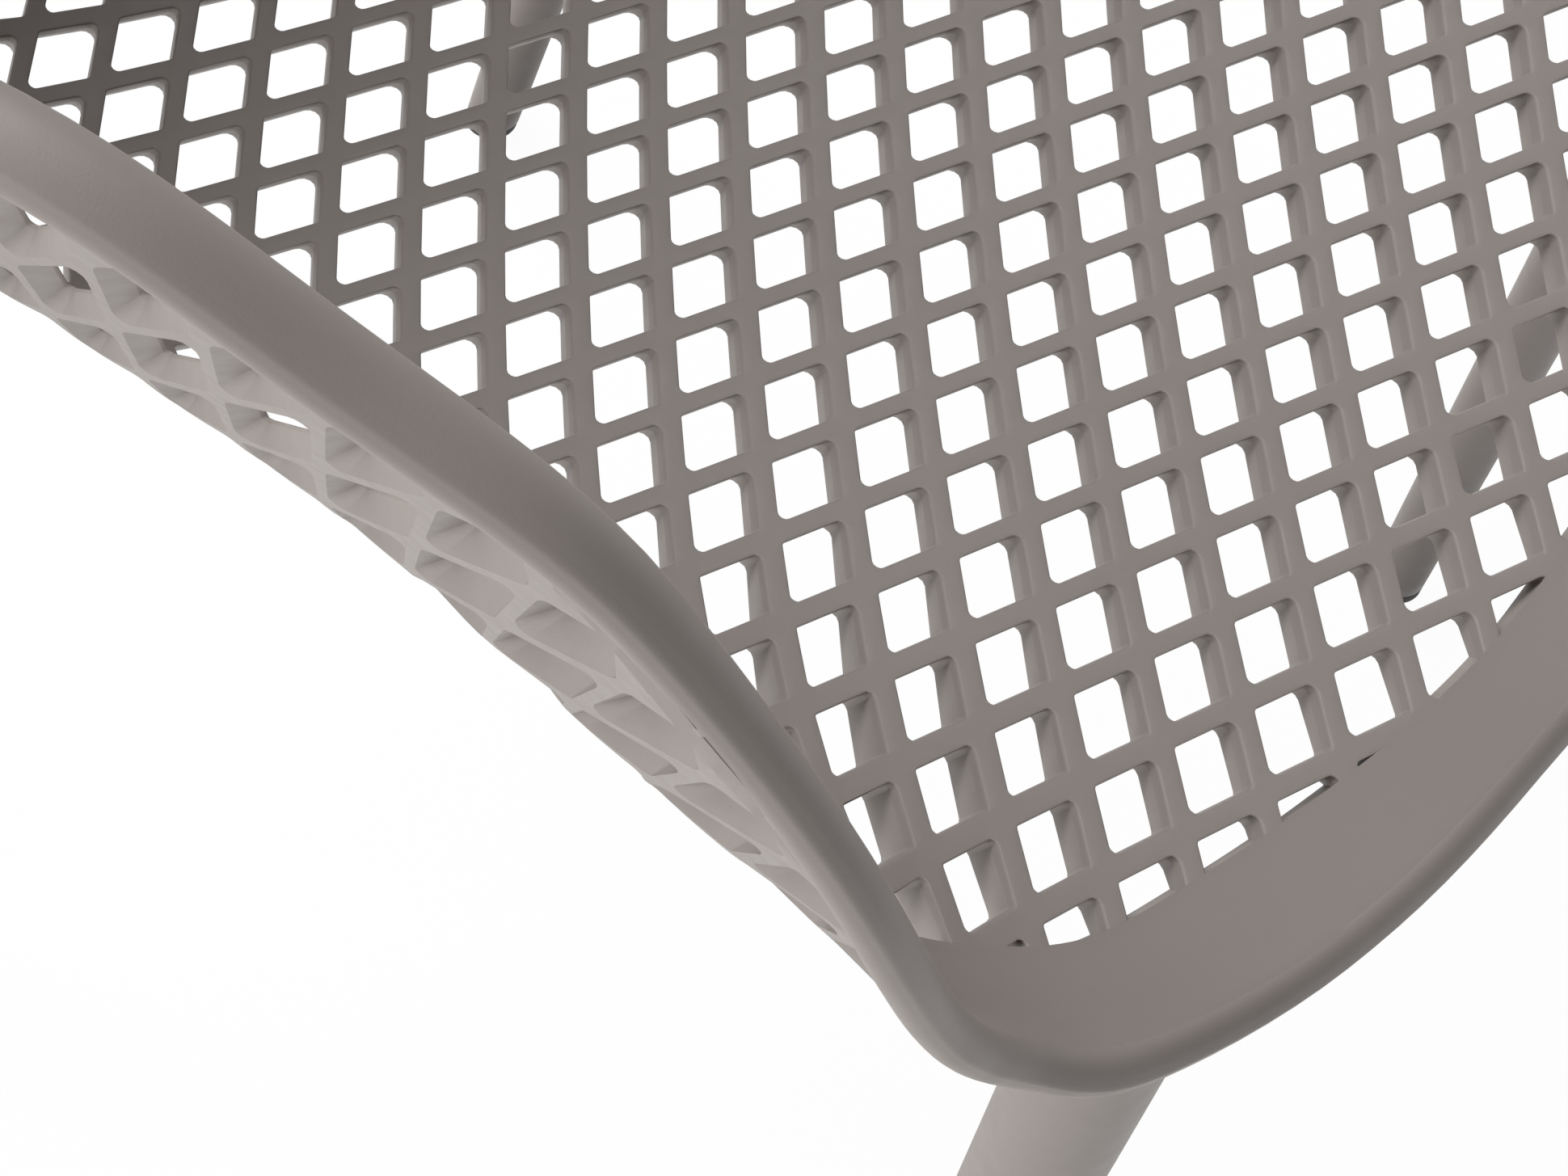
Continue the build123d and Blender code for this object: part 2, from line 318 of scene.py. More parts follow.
@dataclass(frozen=True)
class ShellForm:
    """Shape of the bucket shell in the draw frame of its mould, in millimetres.

    The frame has x across the chair, w back along the face of the mould and d up along the direction in
    which the mould opens. It leans forward from the chair's own frame by draw_tilt degrees.

    Attributes:
        draw_tilt: Lean of the draw frame in degrees.
        bend_w, bend_d, bend_round: Place and rounding of the bend between seat and back.
        seat_slope, back_slope: Slopes of the middle line before and behind the bend.
        dish: Hollow of the seat across the chair.
        arm_rise: Height of the side walls at the peak of the arms.
        arm_front_w, arm_peak_w, arm_back_w: Where the side walls start, peak and end.
        arm_sag, arm_sag_w: Depth of the sag in the arms, and where it starts and ends.
        wall_slope: Slope of the side walls.
        wall_round, corner_round, corner_round_w: Rounding of the walls' foot beside the seat and at the
            front corners, and where it changes.
        half_width, flare, flare_start_w, flare_length: Half width at the rim and its wave along the chair.
        thickness: Thickness of the resin.
        steep_share, steep_share_w: Share of that thickness on steep walls at the front and beside the
            seat, and where it changes.
        corner_thick, corner_thick_at, corner_thick_reach: Thickness added behind the ends of the front
            band, its place and its reach.
        lip_thin, lip_thin_w, lip_reach: Thickness lost at the rim of the front corners, where that ends,
            and its reach from the rim.
        steep_from, outer_share, outer_flat: Slope from which a wall counts as steep, the share of its
            thickness by which the outer face's edge lies outside the rim there, and the distance elsewhere.
        front_w, top_w: Middle of the front edge and of the top edge.
        corner_w, shoulder_w, side_spans: Where the sides start and end, and the spans between.
        front_curve, top_curve, band_curve: Front edge, top edge and inner edge of the band, as shares of
            the half width and distances from front_w or top_w.
    """

    draw_tilt: float = 27.0
    bend_w: float = 322.0
    bend_d: float = 300.0
    bend_round: float = 35.0
    seat_slope: float = 0.648
    back_slope: float = 1.05
    dish: float = 0.0006
    arm_rise: float = 204.0
    arm_front_w: float = -30.5
    arm_peak_w: float = 275.0
    arm_back_w: float = 573.0
    arm_sag: float = 7.9
    arm_sag_w: Plan = (175.0, 291.0)
    wall_slope: float = 2.6
    wall_round: float = 12.0
    corner_round: float = 27.0
    corner_round_w: Plan = (30.0, 180.0)
    half_width: float = 279.0
    flare: float = 9.2
    flare_start_w: float = 114.0
    flare_length: float = 580.0
    thickness: float = 7.0
    steep_share: Plan = (1.0, 0.45)
    steep_share_w: Plan = (165.0, 235.0)
    corner_thick: float = 0.8
    corner_thick_at: Plan = (205.0, 92.0)
    corner_thick_reach: float = 75.0
    lip_thin: float = 0.5
    lip_thin_w: Plan = (100.0, 160.0)
    lip_reach: float = 40.0
    steep_from: float = 1.0
    outer_share: float = 0.9
    outer_flat: float = 1.5
    front_w: float = -34.0
    top_w: float = 612.0
    corner_w: float = 110.0
    shoulder_w: float = 530.0
    side_spans: int = 8
    front_curve: tuple[Plan, ...] = (
        (0.0, 0.0), (0.415, 18.0), (0.667, 37.0), (0.849, 63.0), (0.92, 86.6), (0.968, 110.0))
    top_curve: tuple[Plan, ...] = ((0.967, 64.0), (0.88, 37.0), (0.652, 18.0), (0.34, 4.0), (0.0, 0.0))
    band_curve: tuple[Plan, ...] = (
        (0.0, 24.0), (0.26, 30.0), (0.41, 38.0), (0.548, 50.0), (0.667, 63.0), (0.778, 78.0),
        (0.844, 96.0), (0.9, 118.0), (0.956, 142.0))

    def side_x(self, w: float) -> float:
        """Half width of the shell at its rim."""
        wave = math.cos(2 * math.pi * (w - self.flare_start_w) / self.flare_length)
        return self.half_width - self.flare * wave

    def depth(self, x: float, w: float) -> float:
        """Depth d of the face that carries the sitter.

        Args:
            x: Place across the chair.
            w: Place along the face of the mould.

        Returns:
            The depth in the draw frame.
        """
        run = w - self.bend_w
        mean = (self.back_slope - self.seat_slope) / 2
        half = (self.back_slope + self.seat_slope) / 2
        middle = self.bend_d + mean * run + math.hypot(half * run, self.bend_round)
        if w < self.arm_peak_w:
            share = (w - self.arm_front_w) / (self.arm_peak_w - self.arm_front_w)
        else:
            share = (self.arm_back_w - w) / (self.arm_back_w - self.arm_peak_w)
        rise = self.arm_rise * math.sin(math.pi / 2 * max(share, 0.0)) ** 2
        start, end = self.arm_sag_w
        if start < w < end:
            rise -= self.arm_sag * math.sin(math.pi * (w - start) / (end - start)) ** 2
        return middle + self.dish * x * x + self.wall(x, w, rise)

    def wall(self, x: float, w: float, rise: float) -> float:
        """What the side wall adds to the dished seat: a straight slope above a rounded foot.

        Args:
            x: Place across the chair.
            w: Place along the face of the mould.
            rise: Height of the wall at the rim.

        Returns:
            The height added at that place.
        """
        foot = self.corner_round + (self.wall_round - self.corner_round) * ease_in(self.corner_round_w, w)
        scale = self.wall_slope * foot
        return scale * math.log1p(math.expm1(rise / scale) * math.exp((abs(x) - self.side_x(w)) / foot))

    def slopes(self, x: float, w: float) -> Plan:
        """Slope of the face across and along the chair."""
        across = self.depth(x + 0.5, w) - self.depth(x - 0.5, w)
        along = self.depth(x, w + 0.5) - self.depth(x, w - 0.5)
        return across, along

    def stretch(self, x: float, w: float) -> float:
        """Length along the draw direction of a millimetre of thickness.

        The resin thins on the steep sides beside the seat and thickens towards the front corners.

        Args:
            x: Place across the chair.
            w: Place along the face of the mould.

        Returns:
            The length in millimetres.
        """
        across, along = self.slopes(x, w)
        front, side = self.steep_share
        share = front + (side - front) * ease_in(self.steep_share_w, w)
        gap = math.dist((abs(x), w), self.corner_thick_at)
        thick = 1 + self.corner_thick * ease_in((self.corner_thick_reach, 0.0), gap)
        return thick * (1 + share * (math.sqrt(1 + across * across + along * along) - 1))

    def lip(self, gap: float, w: float) -> float:
        """Share of the thickness that is left near the rim of the front corners.

        Args:
            gap: Distance from the rim in plan.
            w: Place along the face of the mould.

        Returns:
            A share up to one.
        """
        near = ease_in((self.lip_reach, 0.0), gap)
        return 1 - self.lip_thin * near * (1 - ease_in(self.lip_thin_w, w))

    def place(self, x: float, w: float, d: float) -> Vector:
        """Point of the draw frame in the chair's frame, in metres."""
        lean = math.radians(self.draw_tilt)
        y = w * math.cos(lean) - d * math.sin(lean)
        z = w * math.sin(lean) + d * math.cos(lean)
        return Vector((x, y, z)) * MM

    def normal(self, x: float, w: float) -> Vector:
        """Direction square to the face, towards the sitter, in the chair's frame."""
        across, along = self.slopes(x, w)
        return (self.place(-across, -along, 1.0)).normalized()

    def plan_of(self, point: Vector) -> tuple[float, float, float]:
        """x, w and d of a point of the chair's frame, in millimetres."""
        lean = math.radians(self.draw_tilt)
        x, y, z = point / MM
        return x, y * math.cos(lean) + z * math.sin(lean), z * math.cos(lean) - y * math.sin(lean)

    def draw_axis(self) -> Vector:
        """Direction in which the mould opens, in the chair's frame."""
        return self.place(0.0, 0.0, 1.0).normalized()

    def right_edge(self) -> list[Plan]:
        """Points that the right half of the edge passes, from the front's middle to the top's middle."""
        corner, shoulder = self.side_x(self.corner_w), self.side_x(self.shoulder_w)
        length = self.shoulder_w - self.corner_w
        front = [(share * corner, self.front_w + rise) for share, rise in self.front_curve]
        sides = [self.corner_w + length * i / self.side_spans for i in range(self.side_spans + 1)]
        top = [(share * shoulder, self.top_w - drop) for share, drop in self.top_curve]
        return front + [(self.side_x(w), w) for w in sides] + top

    def edge(self, steps: int) -> list[Plan]:
        """Smooth closed edge of the shell in plan.

        Args:
            steps: Points for each span between two of the points that the edge passes.

        Returns:
            Points along the edge, anticlockwise seen by the sitter, from the middle of the front.
        """
        right = self.right_edge()
        left = [(-x, w) for x, w in reversed(right[1:-1])]
        return smooth_line(right + left, steps, True)

    def outer_edge(self, steps: int) -> list[Plan]:
        """Edge in plan of the outer face, one wall thickness outside the rim where the wall is steep."""
        line = self.edge(steps)
        moved: list[Plan] = []
        for i, (x, w) in enumerate(line):
            run = Vector(line[(i + 1) % len(line)]) - Vector(line[i - 1])
            across, along = self.slopes(x, w)
            steep = math.hypot(across, along)
            square = math.sqrt(1 + steep * steep)
            wall = self.thickness * self.stretch(x, w) * self.lip(0.0, w) / square
            lean = self.outer_share * wall * steep / square
            amount = lean if abs(across) > self.steep_from else self.outer_flat
            out = Vector((run.y, -run.x)).normalized() * amount
            moved.append((x + out.x, w + out.y))
        return moved

    def band_edge(self, steps: int) -> list[Plan]:
        """Inner edge of the right half of the front band, from the middle to its tail at the rim."""
        corner = self.side_x(self.corner_w)
        points = [(share * corner, self.front_w + rise) for share, rise in self.band_curve]
        mirrored = [(-points[1][0], points[1][1])]
        return smooth_line(mirrored + points, steps, False)[steps:]


class EdgeGuide:
    """Finds where a place in plan lies against the rim and the outer face's edge."""

    def __init__(self, shell: ShellForm, steps: int = 60) -> None:
        """Sample the edges.

        Args:
            shell: Form of the shell.
            steps: Samples for each span of the edge.
        """
        self.shell = shell
        self.rim = shell.edge(steps)
        self.outer = shell.outer_edge(steps)
        self.rim_tree = self._tree(self.rim)
        self.outer_tree = self._tree(self.outer)
        half = len(self.rim) // 2 + 1
        self.rim_rows = [w for _, w in self.rim[:half]]
        self.outer_rows = [w for _, w in self.outer[:half]]

    @staticmethod
    def _tree(line: list[Plan]) -> KDTree:
        """Search tree of the points of a line."""
        tree = KDTree(len(line))
        for i, (x, w) in enumerate(line):
            tree.insert((x, w, 0.0), i)
        tree.balance()
        return tree

    @staticmethod
    def _inside(line: list[Plan], rows: list[float], x: float, w: float) -> bool:
        """Whether a place lies inside a line whose right half climbs steadily in w."""
        i = bisect_left(rows, w)
        if i == 0 or i == len(rows):
            return False
        share = (w - rows[i - 1]) / max(rows[i] - rows[i - 1], 1e-9)
        return abs(x) < line[i - 1][0] + (line[i][0] - line[i - 1][0]) * share

    def within_rim(self, x: float, w: float) -> bool:
        """Whether a place lies inside the middle line of the rim."""
        return self._inside(self.rim, self.rim_rows, x, w)

    def within_outer(self, x: float, w: float) -> bool:
        """Whether a place lies inside the edge of the outer face."""
        return self._inside(self.outer, self.outer_rows, x, w)

    def held(self, x: float, w: float) -> Plan:
        """The place itself, or the nearest place on the outer face's edge."""
        if self.within_outer(x, w):
            return x, w
        return self.outer[self.outer_tree.find((x, w, 0.0))[1]]

    def depth(self, x: float, w: float, below: float) -> float:
        """Depth of a point under the sitter's face, cut off at the rim's middle line.

        Args:
            x: Place across the chair.
            w: Place along the face of the mould.
            below: Distance square to the face.

        Returns:
            The depth in the draw frame.
        """
        _, k, gap = self.rim_tree.find((x, w, 0.0))
        inside = self.within_rim(x, w)
        left = self.shell.lip(gap if inside else 0.0, w) if below > 0 else 1.0
        depth = self.shell.depth(x, w) - below * left * self.shell.stretch(x, w)
        return depth if inside else min(depth, self.shell.depth(*self.rim[k]))


def verts_in(geom: Geometry) -> list[bmesh.types.BMVert]:
    """Vertices among the results of an extrusion."""
    return [item for item in geom if isinstance(item, bmesh.types.BMVert)]


def edges_in(geom: Geometry) -> list[bmesh.types.BMEdge]:
    """Edges among the results of an extrusion."""
    return [item for item in geom if isinstance(item, bmesh.types.BMEdge)]


def soften(bm: bmesh.types.BMesh, edges: list[bmesh.types.BMEdge], size: float, segments: int = 2) -> Geometry:
    """Round edges to a soft radius.

    Args:
        bm: Mesh of the edges.
        edges: Edges to round.
        size: Width of the rounding on each side, in millimetres.
        segments: Faces across the rounding.

    Returns:
        Vertices of the rounding.
    """
    made = bmesh.ops.bevel(
        bm, geom=edges, offset=size * MM, affect="EDGES", segments=segments, profile=0.5, material=-1)
    return made["verts"]


def new_piece(name: str, bm: bmesh.types.BMesh, crease: float = 40.0) -> bpy.types.Object:
    """Turn a bmesh into a smooth-shaded object at the origin.

    Args:
        name: Name of the piece.
        bm: Finished mesh, which is freed.
        crease: Angle in degrees above which an edge stays sharp.

    Returns:
        The new object, linked to the scene.
    """
    bmesh.ops.recalc_face_normals(bm, faces=bm.faces[:])
    for face in bm.faces:
        face.smooth = True
    for edge in bm.edges:
        if edge.calc_face_angle(0.0) > math.radians(crease):
            edge.smooth = False
    mesh = bpy.data.meshes.new(name)
    bm.to_mesh(mesh)
    bm.free()
    piece = bpy.data.objects.new(name, mesh)
    bpy.context.scene.collection.objects.link(piece)
    return piece


def dress(piece: bpy.types.Object, material: bpy.types.Material, slot: Slot, *nodes: str) -> bpy.types.Object:
    """Give a piece its finish and its place in the part.

    Args:
        piece: The piece.
        material: Its material.
        slot: Slot of the record that its finish comes from; not used.
        nodes: Nodes of the part that the piece stands for.

    Returns:
        The same piece.
    """
    piece.data.materials.clear()
    piece.data.materials.append(material)
    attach(piece, BODY)
    if nodes:
        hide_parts(*nodes)
    LOG.info("%s: %d faces", piece.name, len(piece.data.polygons))
    return piece


@dataclass
class Net:
    """Lozenge net of the seat, the back and the sides, with openings that follow the mould's draw.

    Attributes:
        shell: Form of the shell.
        guide: Edges of the shell.
        cell_width: Diagonal of a cell across the chair.
        cell_length: Diagonal of a cell along w.
        first_row_w: Row of cell centres that the net is counted from.
        columns: Cells on each axis of the slanted grid.
        first_cell: Index of the first cell on each axis.
        bar_width: Width of a bar at its full section.
        wall_bar: Share by which a bar is wider on the steep sides.
        wall_slope: Stretch of the face at which a bar starts to widen, and at which it has its full width.
        corner_radius: Rounding of the openings' corners.
        ease: Rounding of the bars' upper edges.
        knee: Depth at which the openings start to flare, on the seat and on the steep sides.
        flare: Amount by which a bar narrows on each side below the knee.
        under_band: How far the net runs on inside the front band.
        pads: Places in plan where a leg stands under solid resin, and their radius.
        parts: Steps of the grid across a cell; the opening's edge lies one step inside the cell's.
        cells: Levels of the cells that were asked for so far.
    """

    shell: ShellForm
    guide: EdgeGuide
    cell_width: float = 38.8
    cell_length: float = 20.2
    first_row_w: float = 126.5
    columns: int = 48
    first_cell: int = -16
    bar_width: float = 4.4
    wall_bar: float = 0.2
    wall_slope: Plan = (1.15, 1.6)
    corner_radius: float = 1.4
    ease: float = 0.6
    knee: Plan = (2.8, 1.4)
    flare: float = 1.0
    under_band: float = 7.0
    pads: tuple[Triple, ...] = ((216.0, 325.0, 24.0), (-216.0, 325.0, 24.0))
    parts: int = 6
    cells: dict[tuple[int, int], list[Plan]] = field(default_factory=dict)

    def levels(self, wider: float = 0.0) -> list[Plan]:
        """Depth below the face and half bar width at each level of an opening's wall, from the top down.

        Args:
            wider: Share of the full widening on the steep sides.

        Returns:
            One pair for each level.
        """
        half = self.bar_width / 2 * (1 + self.wall_bar * wider)
        knee = self.knee[0] + (self.knee[1] - self.knee[0]) * wider
        foot = self.bar_width / 2 - self.flare
        return [
            (0.0, half - self.ease),
            (self.ease * 0.3, half - self.ease * 0.3),
            (self.ease, half),
            (knee, half),
            (self.shell.thickness, foot),
        ]

    def widening(self, x: float, w: float) -> float:
        """How far a cell's bars are widened, from zero on the seat to one on the steep sides."""
        flat, steep = self.wall_slope
        return min(max((self.shell.stretch(x, w) - flat) / (steep - flat), 0.0), 1.0)

    def lattice(self, p: float, q: float) -> Plan:
        """Plan place of a point of the slanted grid, counted in cells."""
        x = (p - q) * self.cell_width / 2
        return x, self.first_row_w + (p + q + 1) * self.cell_length / 2

    def opening_point(self, u: int, v: int, half_bar: float) -> Plan:
        """Place of a point on the rounded opening of a cell, from the cell's centre.

        Args:
            u: Steps along the first side, from -2 to 2.
            v: Steps along the second side, from -2 to 2.
            half_bar: Half of the bar's width at this level.

        Returns:
            x and w from the centre of the cell.
        """
        half_x, half_w = self.cell_width / 2, self.cell_length / 2
        share = 1 - half_bar * math.hypot(half_x, half_w) / (half_x * half_w)
        radius = self.corner_radius + self.bar_width / 2 - half_bar
        sharp = math.atan2(half_w, half_x)
        step = abs(u + v)
        if step <= 2:
            turn = (math.pi / 2 - sharp) * step / 2
            x = half_x * share - radius / math.sin(sharp) + radius * math.cos(turn)
            w = radius * math.sin(turn)
        else:
            turn = sharp * (4 - step)
            x = radius * math.sin(turn)
            w = half_w * share - radius / math.cos(sharp) + radius * math.cos(turn)
        return math.copysign(x, u - v), math.copysign(w, u + v)

    def plan(self, i: int, j: int, level: int) -> Triple:
        """Place of a grid point at one level.

        Args:
            i: Index of the point along the first axis.
            j: Index of the point along the second axis.
            level: Number of the level, from the top down.

        Returns:
            x and w, and the depth below the face.
        """
        a, i = divmod(i, self.parts)
        b, j = divmod(j, self.parts)
        p, q = self.first_cell + a, self.first_cell + b
        centre = self.lattice(p, q)
        if (p, q) not in self.cells:
            self.cells[p, q] = self.levels(self.widening(*centre))
        below, half_bar = self.cells[p, q][level]
        middle = self.parts // 2
        if max(abs(i - middle), abs(j - middle)) != middle - 1:
            return *self.lattice(p - 0.5 + i / self.parts, q - 0.5 + j / self.parts), below
        x, w = self.opening_point(i - middle, j - middle, half_bar)
        return centre[0] + x, centre[1] + w, below

    def is_solid(self, x: float, w: float) -> bool:
        """Whether a cell is left solid because a leg stands under it."""
        return any(math.hypot(x - px, w - pw) < radius for px, pw, radius in self.pads)

    def build(self) -> bpy.types.Object:
        """Build the net.

        Returns:
            The net as one piece.
        """
        bm = bmesh.new()
        size = self.columns * self.parts
        bmesh.ops.create_grid(bm, x_segments=size, y_segments=size, size=size / 2)
        bmesh.ops.translate(bm, verts=bm.verts[:], vec=(size / 2, size / 2, 0.0))
        knee = len(self.levels()) - 2
        band = self.shell.band_edge(12)
        band_rows = [x for x, _ in band]

        def under_band(x: float, w: float) -> bool:
            """Whether a place lies deep inside the front band."""
            k = bisect_left(band_rows, abs(x))
            return k < len(band) and w < band[k][1] - self.under_band

        spare = []
        seen: dict[int, bool] = {}
        for vert in bm.verts:
            x, w, _ = self.plan(round(vert.co.x), round(vert.co.y), 0)
            seen[vert.index] = self.guide.within_outer(x, w) and not under_band(x, w)
        for face in bm.faces:
            middle = face.calc_center_median()
            a, b = int(middle.x // self.parts), int(middle.y // self.parts)
            in_opening = all(1 < place % self.parts < self.parts - 1 for place in middle.xy)
            centre = self.lattice(self.first_cell + a, self.first_cell + b)
            hidden = not any(seen[vert.index] for vert in face.verts)
            if hidden or (in_opening and not self.is_solid(*centre)):
                spare.append(face)
        bmesh.ops.delete(bm, geom=spare, context="FACES")

        lower = verts_in(bmesh.ops.extrude_face_region(bm, geom=bm.faces[:])["geom"])
        bmesh.ops.translate(bm, verts=lower, vec=(0.0, 0.0, -1.0))
        walls = [edge for edge in bm.edges if abs(edge.verts[0].co.z - edge.verts[1].co.z) > 0.5]
        bmesh.ops.subdivide_edges(bm, edges=walls, cuts=knee, use_grid_fill=True)

        marks = bm.verts.layers.int.new("level")
        for vert in bm.verts:
            level = round(-vert.co.z * (knee + 1))
            vert[marks] = level
            x, w, below = self.plan(round(vert.co.x), round(vert.co.y), level)
            x, w = self.guide.held(x, w)
            vert.co = self.shell.place(x, w, self.guide.depth(x, w, below))
        bmesh.ops.remove_doubles(bm, verts=bm.verts[:], dist=0.00002)
        for edge in bm.edges:
            here = {vert[marks] for vert in edge.verts}
            around = {vert[marks] for face in edge.link_faces for vert in face.verts}
            edge.smooth = not (here == {knee} or (here == {knee + 1} and knee in around))
        piece = new_piece("net_shell", bm, 60.0)
        even = piece.modifiers.new("even_normals", "WEIGHTED_NORMAL")
        even.keep_sharp = True
        return piece


@dataclass
class RolledRim:
    """Round bead rolled along the whole edge of the shell, with the fine parting line of the mould.

    Attributes:
        shell: Form of the shell.
        radius_front: Radius along the front.
        arm_wide: Half width of the flatter section along the arms and the top.
        arm_high: Half height of that section.
        swell_w: Where the rim starts to swell to the arm, and where it has its full section.
        sink_w: Up to where the rim lies flush in the front band, and from where it stands on the shell's edge.
        flush: Height above the net at which the rim lies flush.
        segments: Faces around the bead.
        parting_turn: Angle of the parting line below the outermost point, in degrees.
        parting_height: Height of the parting line.
    """

    shell: ShellForm
    radius_front: float = 5.0
    arm_wide: float = 7.5
    arm_high: float = 4.7
    swell_w: Plan = (110.0, 235.0)
    sink_w: Plan = (15.0, 95.0)
    flush: float = 0.3
    segments: int = 36
    parting_turn: float = 40.0
    parting_height: float = 0.3

    def section(self, w: float) -> Vector:
        """Half width and half height of the bead, growing from the front corner to the arm."""
        front = Vector((self.radius_front, self.radius_front))
        return front.lerp(Vector((self.arm_wide, self.arm_high)), ease_in(self.swell_w, w))

    def sink(self, w: float) -> float:
        """How far the bead's middle line lies below the face, square to it."""
        return (self.radius_front - self.flush) * (1 - ease_in(self.sink_w, w))

    def stations(self, steps: int) -> list[Matrix]:
        """Frames along the rim: outward, up, along, and the section as their scale.

        Args:
            steps: Frames for each span of the edge.

        Returns:
            One matrix for each frame.
        """
        plan = self.shell.edge(steps)
        path = []
        for x, w in plan:
            across, along = self.shell.slopes(x, w)
            drop = self.sink(w) * math.sqrt(1 + across * across + along * along)
            path.append(self.shell.place(x, w, self.shell.depth(x, w) - drop))
        frames = []
        for i, centre in enumerate(path):
            along = (path[(i + 1) % len(path)] - path[i - 1]).normalized()
            out = along.cross(self.shell.draw_axis()).normalized()
            up = out.cross(along) * -1.0
            wide, high = self.section(plan[i][1]) * MM
            turn = Matrix((out, up, along)).transposed().to_4x4()
            frames.append(Matrix.Translation(centre) @ turn @ Matrix.Diagonal((wide, high, wide, 1.0)))
        return frames

    def build(self) -> bpy.types.Object:
        """Sweep the bead around the edge.

        Returns:
            The rim as one closed piece.
        """
        bm = bmesh.new()
        frames = self.stations(8)
        bmesh.ops.create_circle(bm, segments=self.segments, radius=1.0)
        turn = -math.radians(self.parting_turn)
        line = Vector((math.cos(turn), math.sin(turn), 0.0))
        ridge = max(bm.verts, key=lambda vert: vert.co.dot(line))
        ridge.co = line * (1 + self.parting_height / self.radius_front)
        bmesh.ops.transform(bm, matrix=frames[0], verts=bm.verts[:])
        first = bm.edges[:]
        ring = first
        for before, after in zip(frames, frames[1:]):
            grown = bmesh.ops.extrude_edge_only(bm, edges=ring)["geom"]
            verts, ring = verts_in(grown), edges_in(grown)
            bmesh.ops.transform(bm, matrix=after @ before.inverted(), verts=verts)
        bmesh.ops.bridge_loops(bm, edges=first + ring)
        return new_piece("rolled_rim", bm, 70.0)


@dataclass
class FrontBand:
    """Flat solid band behind the front edge, which sweeps up into the rolled rim.

    Attributes:
        shell: Form of the shell.
        guide: Edges of the shell.
        rim: The rolled rim that the band runs into.
        proud: Height of the band above the net, on both faces.
        sweep: Radius of the hollow between the band and the rim.
        ease: Rounding of the inner edge.
        tuck: Share of the rim's radius at which the band runs on inside the rim.
        tail: Shares of the band's half length over which it thins to its tail.
        tail_thin: Share of the thickness that the tail loses.
        overrun: How far the outer edge runs on in w behind the end of the inner edge.
        lengthwise: Faces along the band.
        crosswise: Faces across the band.
    """

    shell: ShellForm
    guide: EdgeGuide
    rim: RolledRim
    proud: float = 0.3
    sweep: float = 22.0
    ease: float = 0.7
    tuck: float = 0.985
    tail: Plan = (0.55, 1.0)
    tail_thin: float = 0.75
    overrun: float = 14.0
    lengthwise: int = 160
    crosswise: int = 18

    @staticmethod
    def along(line: list[Plan], share: float) -> Vector:
        """Place at a share of a line's points."""
        spot = share * (len(line) - 1)
        k = min(int(spot), len(line) - 2)
        return Vector(line[k]).lerp(Vector(line[k + 1]), spot - k)

    def blend(self, station: Matrix, face: Vector, up: Vector, sink: float) -> Vector:
        """Lead the band's face up a hollow to the rim, and on inside the rim.

        Args:
            station: Frame of the rim next to the point, with the rim's radius as its scale.
            face: Point of the band's plain face.
            up: Direction square to the face.
            sink: How far the rim's middle line lies below the face.

        Returns:
            The point of the band.
        """
        out = station.col[0].to_3d()
        out = (out - up * out.dot(up)).normalized()
        radius = station.col[0].to_3d().length / MM
        gap = (station.translation - face).dot(out) / MM
        reach = radius + self.sweep
        start = math.sqrt(max(reach * reach - (self.sweep + sink) ** 2, 0.0))
        if gap >= start:
            return face
        if gap >= start * radius / reach:
            return face + up * (self.sweep - math.sqrt(self.sweep ** 2 - (start - gap) ** 2)) * MM
        turn = math.asin(min(max(gap / radius, -1.0), 1.0))
        inside = (up * math.cos(turn) - out * math.sin(turn)) * radius * self.tuck
        return station.translation + inside * MM

    def build(self) -> bpy.types.Object:
        """Build the band.

        Returns:
            The band as one closed piece.
        """
        inner = self.shell.band_edge(16)
        edge = self.guide.outer
        half = [place for place in edge[: len(edge) // 2] if place[1] < inner[-1][1] + self.overrun]
        middle = self.guide.rim[: len(half)]
        stations = self.rim.stations(60)
        tree = KDTree(len(stations))
        for i, station in enumerate(stations):
            tree.insert(station.translation, i)
        tree.balance()

        bm = bmesh.new()
        bmesh.ops.create_grid(bm, x_segments=self.lengthwise, y_segments=self.crosswise, size=1.0)
        lower = verts_in(bmesh.ops.extrude_face_region(bm, geom=bm.faces[:])["geom"])
        bmesh.ops.translate(bm, verts=lower, vec=(0.0, 0.0, -1.0))
        lip = [edge for edge in bm.edges if all(v.co.y < -0.999 and v.co.z > -0.5 for v in edge.verts)]
        for vert in bm.verts:
            side, share = math.copysign(1.0, vert.co.x), abs(vert.co.x)
            under = vert.co.z < -0.5
            fade = ease_in(self.tail, share) if under else 0.0
            far = self.along(half, share).lerp(self.along(middle, share), fade)
            x, w = self.along(inner, share).lerp(far, (vert.co.y + 1) / 2)
            below = -self.proud
            if under:
                below = (self.shell.thickness + self.proud) * (1 - self.tail_thin * fade)
            point = self.shell.place(x, w, self.guide.depth(x, w, below))
            if not under:
                k = tree.find(point)[1]
                sink = self.rim.sink(self.guide.rim[k][1]) + self.proud
                point = self.blend(stations[k], point, self.shell.normal(x, w), sink)
            vert.co = Vector((side * point.x, point.y, point.z))
        soften(bm, lip, self.ease)
        return new_piece("front_band_moulding", bm, 50.0)


